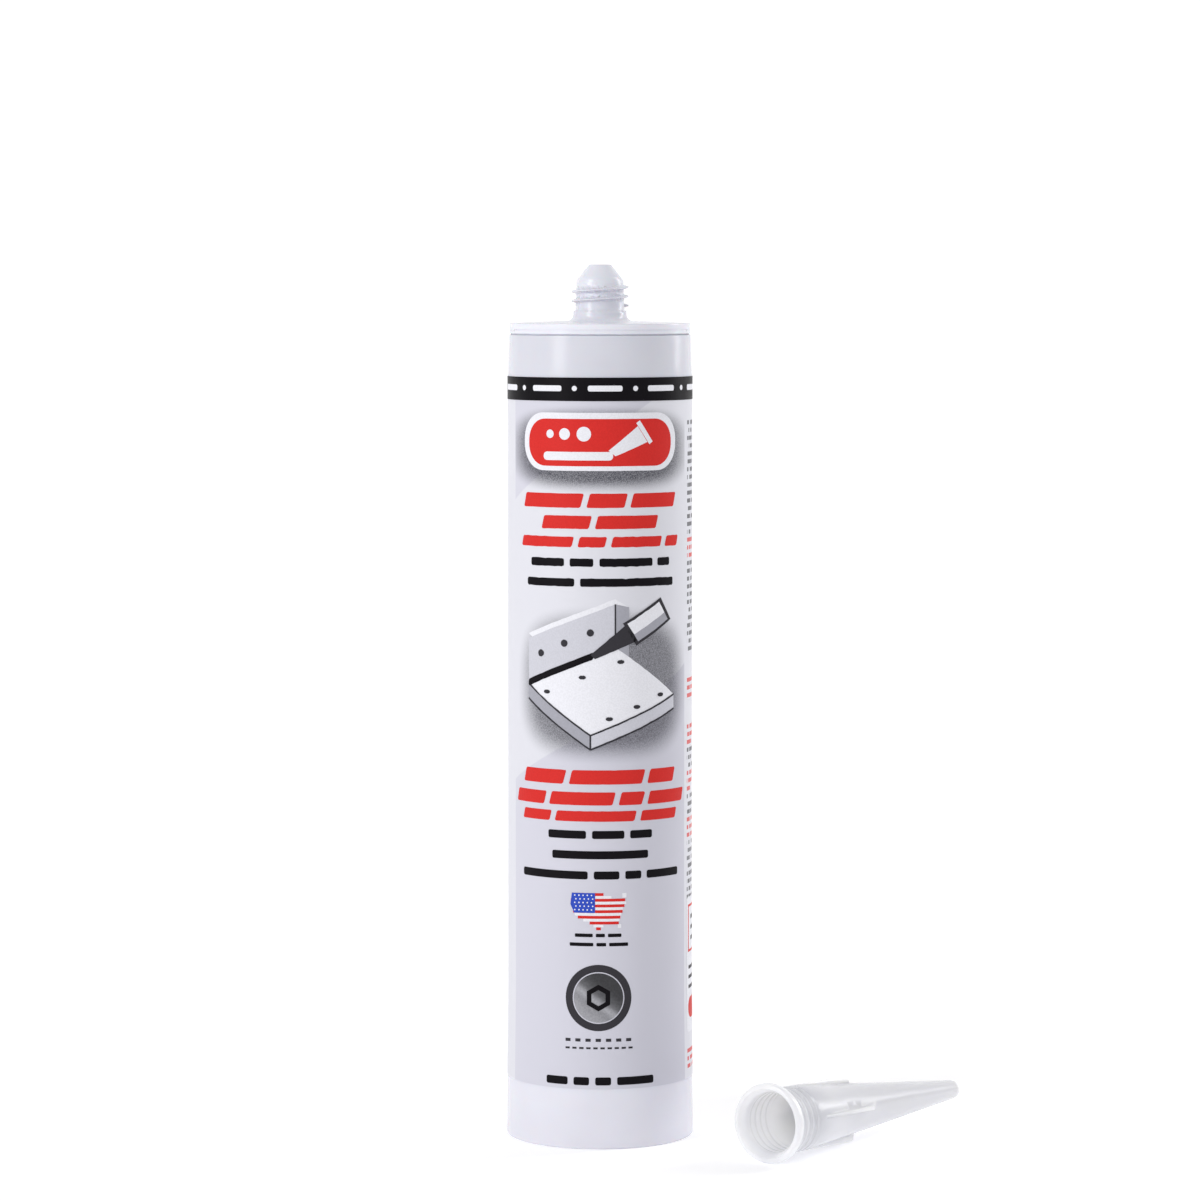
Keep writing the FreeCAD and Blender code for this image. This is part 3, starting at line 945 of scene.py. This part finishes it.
class CARTRIDGE_OT_side_marks(PrintOperator, bpy.types.Operator):
    """A white field with a thin red frame, a small red badge and lines, low on the right side"""
    bl_idname = "cartridge.side_marks"
    bl_label = "Side marks"

    def execute(self, context):
        field = new_outline("side_field")
        add_block(40.0, 46.0, 21.0, 36.0)
        round_corners(1.2, 4)
        self.print_on_film(field, self.ink(context, "white"))
        outlines = new_outline("side_frame")
        add_block(40.0, 55.6, 18.6, 12.6)
        bpy.ops.mesh.inset(thickness=0.6 * MM)
        bpy.ops.mesh.delete(type="FACE")
        self.print_on_film(outlines, self.ink(context, "red"), 1)
        badge = new_outline("side_badge")
        add_block(40.0, 34.4, 18.6, 5.6)
        round_corners(2.6, 8)
        self.print_on_film(badge, self.ink(context, "red"), 1)
        lines = new_outline("side_lines")
        add_bars(58.4, 1.1, 33.4, 46.4, (4, 3), gap=1.0)
        add_bars(55.6, 1.1, 33.4, 45.0, (2, 5), gap=1.0)
        add_bars(52.8, 1.1, 33.4, 46.0, (5, 3), gap=1.0)
        add_bars(45.2, 0.9, 31.2, 48.6, (4, 3, 2), gap=1.0)
        add_bars(42.6, 0.9, 31.2, 47.0, (3, 5), gap=1.0)
        add_bars(40.0, 0.9, 31.2, 48.0, (5, 2, 3), gap=1.0)
        self.print_on_film(lines, self.ink(context, "dark_grey"), 1)
        return {"FINISHED"}


class CARTRIDGE_OT_studio(bpy.types.Operator):
    """Pale floor with a swept back, soft light and the camera"""
    bl_idname = "cartridge.studio"
    bl_label = "Studio"

    def execute(self, context):
        studio = context.scene.cartridge_studio
        self.add_floor(studio)
        self.add_light("key_softbox", studio.key_power, 0.38, 0.90, (-0.86, -0.66, 0.64))
        self.add_light("side_strip", studio.fill_power, 0.25, 0.80, (0.95, 0.45, 0.60))
        world = bpy.data.worlds.new("plain_surroundings")
        world.use_nodes = True
        background = world.node_tree.nodes["Background"]
        background.inputs["Color"].default_value = (1.0, 1.0, 1.0, 1.0)
        background.inputs["Strength"].default_value = studio.world_strength
        context.scene.world = world
        context.scene.view_settings.view_transform = "Standard"
        camera_data = bpy.data.cameras.new("camera")
        camera_data.sensor_width = 36.0
        camera_data.lens = studio.camera_lens
        camera = bpy.data.objects.new("camera", camera_data)
        context.scene.collection.objects.link(camera)
        camera.location = (0, -studio.camera_distance, studio.camera_height)
        camera.rotation_euler = (FRONT - studio.camera_pitch, 0, 0)
        context.scene.camera = camera
        return {"FINISHED"}

    @staticmethod
    def add_light(name, power, width, height, place):
        """A softbox of this size, aimed at the middle of the barrel."""
        data = bpy.data.lights.new(name, "AREA")
        data.shape = "RECTANGLE"
        data.size, data.size_y = width, height
        data.energy = power
        light = bpy.data.objects.new(name, data)
        bpy.context.scene.collection.objects.link(light)
        light.location = place
        aim = Vector((0, 0, 0.12)) - Vector(place)
        light.rotation_euler = aim.to_track_quat("-Z", "Y").to_euler()

    @staticmethod
    def add_floor(studio):
        """A wide floor whose far edge sweeps up into a backdrop."""
        look_only_at(None)
        floor_size, back_height, sweep_radius = 8.0, 4.0, 1.5
        bpy.ops.mesh.primitive_plane_add(size=floor_size, location=(0, 0, 0))
        floor = bpy.context.object
        floor.name = "floor"
        select_vertices(floor, lambda place: place.y > 0)
        bpy.ops.mesh.extrude_edges_move(TRANSFORM_OT_translate={"value": (0, 0, back_height)})
        bpy.ops.mesh.select_all(action="SELECT")
        bpy.ops.object.mode_set(mode="OBJECT")
        sweep = floor.modifiers.new("Sweep", "BEVEL")
        sweep.width = sweep_radius
        sweep.segments = 24
        apply_modifiers(floor)
        bpy.ops.object.shade_smooth_by_angle(angle=math.radians(35))
        recipe = Recipe("pale_floor")
        tone = recipe.ramp(recipe.noise(3.0), 0.3, 0.7)
        darker = dimmed(studio.floor_colour, 0.99)
        depth = recipe.node("SeparateXYZ", Vector=recipe.place).outputs["Y"]
        floor.data.materials.append(recipe.finish(
            Base_Color=recipe.mix(tone, colour(darker), colour(studio.floor_colour)), Roughness=0.7,
            Emission_Color=(1.0, 1.0, 1.0, 1.0),
            Emission_Strength=recipe.ramp(depth, 0.2, 0.9, studio.floor_glow, studio.backdrop_glow)))


class CARTRIDGE_PT_panel(bpy.types.Panel):
    """Lists the steps that dress the cartridge"""
    bl_label = "Cartridge"
    bl_idname = "CARTRIDGE_PT_panel"
    bl_space_type = "VIEW_3D"
    bl_region_type = "UI"
    bl_category = "Cartridge"

    def draw(self, context):
        for group in (context.scene.cartridge_finish, context.scene.cartridge_inks,
                      context.scene.cartridge_studio):
            for name in group.__annotations__:
                self.layout.prop(group, name)
        for step in STEPS:
            self.layout.operator(step.bl_idname)


GROUPS = {
    "cartridge_finish": CartridgeFinish,
    "cartridge_inks": CartridgeInks,
    "cartridge_studio": CartridgeStudio,
}
STEPS = (
    CARTRIDGE_OT_studio, CARTRIDGE_OT_plastics, CARTRIDGE_OT_nozzle, CARTRIDGE_OT_sealant,
    CARTRIDGE_OT_film, CARTRIDGE_OT_band, CARTRIDGE_OT_badge, CARTRIDGE_OT_headlines,
    CARTRIDGE_OT_drawing, CARTRIDGE_OT_figure, CARTRIDGE_OT_emblem, CARTRIDGE_OT_side_marks,
)


def register():
    for name, group in GROUPS.items():
        bpy.utils.register_class(group)
        setattr(bpy.types.Scene, name, bpy.props.PointerProperty(type=group))
    for step in STEPS:
        bpy.utils.register_class(step)
    bpy.utils.register_class(CARTRIDGE_PT_panel)


def unregister():
    bpy.utils.unregister_class(CARTRIDGE_PT_panel)
    for step in reversed(STEPS):
        bpy.utils.unregister_class(step)
    for name, group in GROUPS.items():
        delattr(bpy.types.Scene, name)
        bpy.utils.unregister_class(group)


def main():
    register()
    bpy.ops.cartridge.studio()
    bpy.ops.cartridge.plastics()
    bpy.ops.cartridge.nozzle()
    bpy.ops.cartridge.sealant()
    bpy.ops.cartridge.film()
    bpy.ops.cartridge.band()
    bpy.ops.cartridge.badge()
    bpy.ops.cartridge.headlines()
    bpy.ops.cartridge.drawing()
    bpy.ops.cartridge.figure()
    bpy.ops.cartridge.emblem()
    bpy.ops.cartridge.side_marks()


if __name__ == "__main__":
    main()
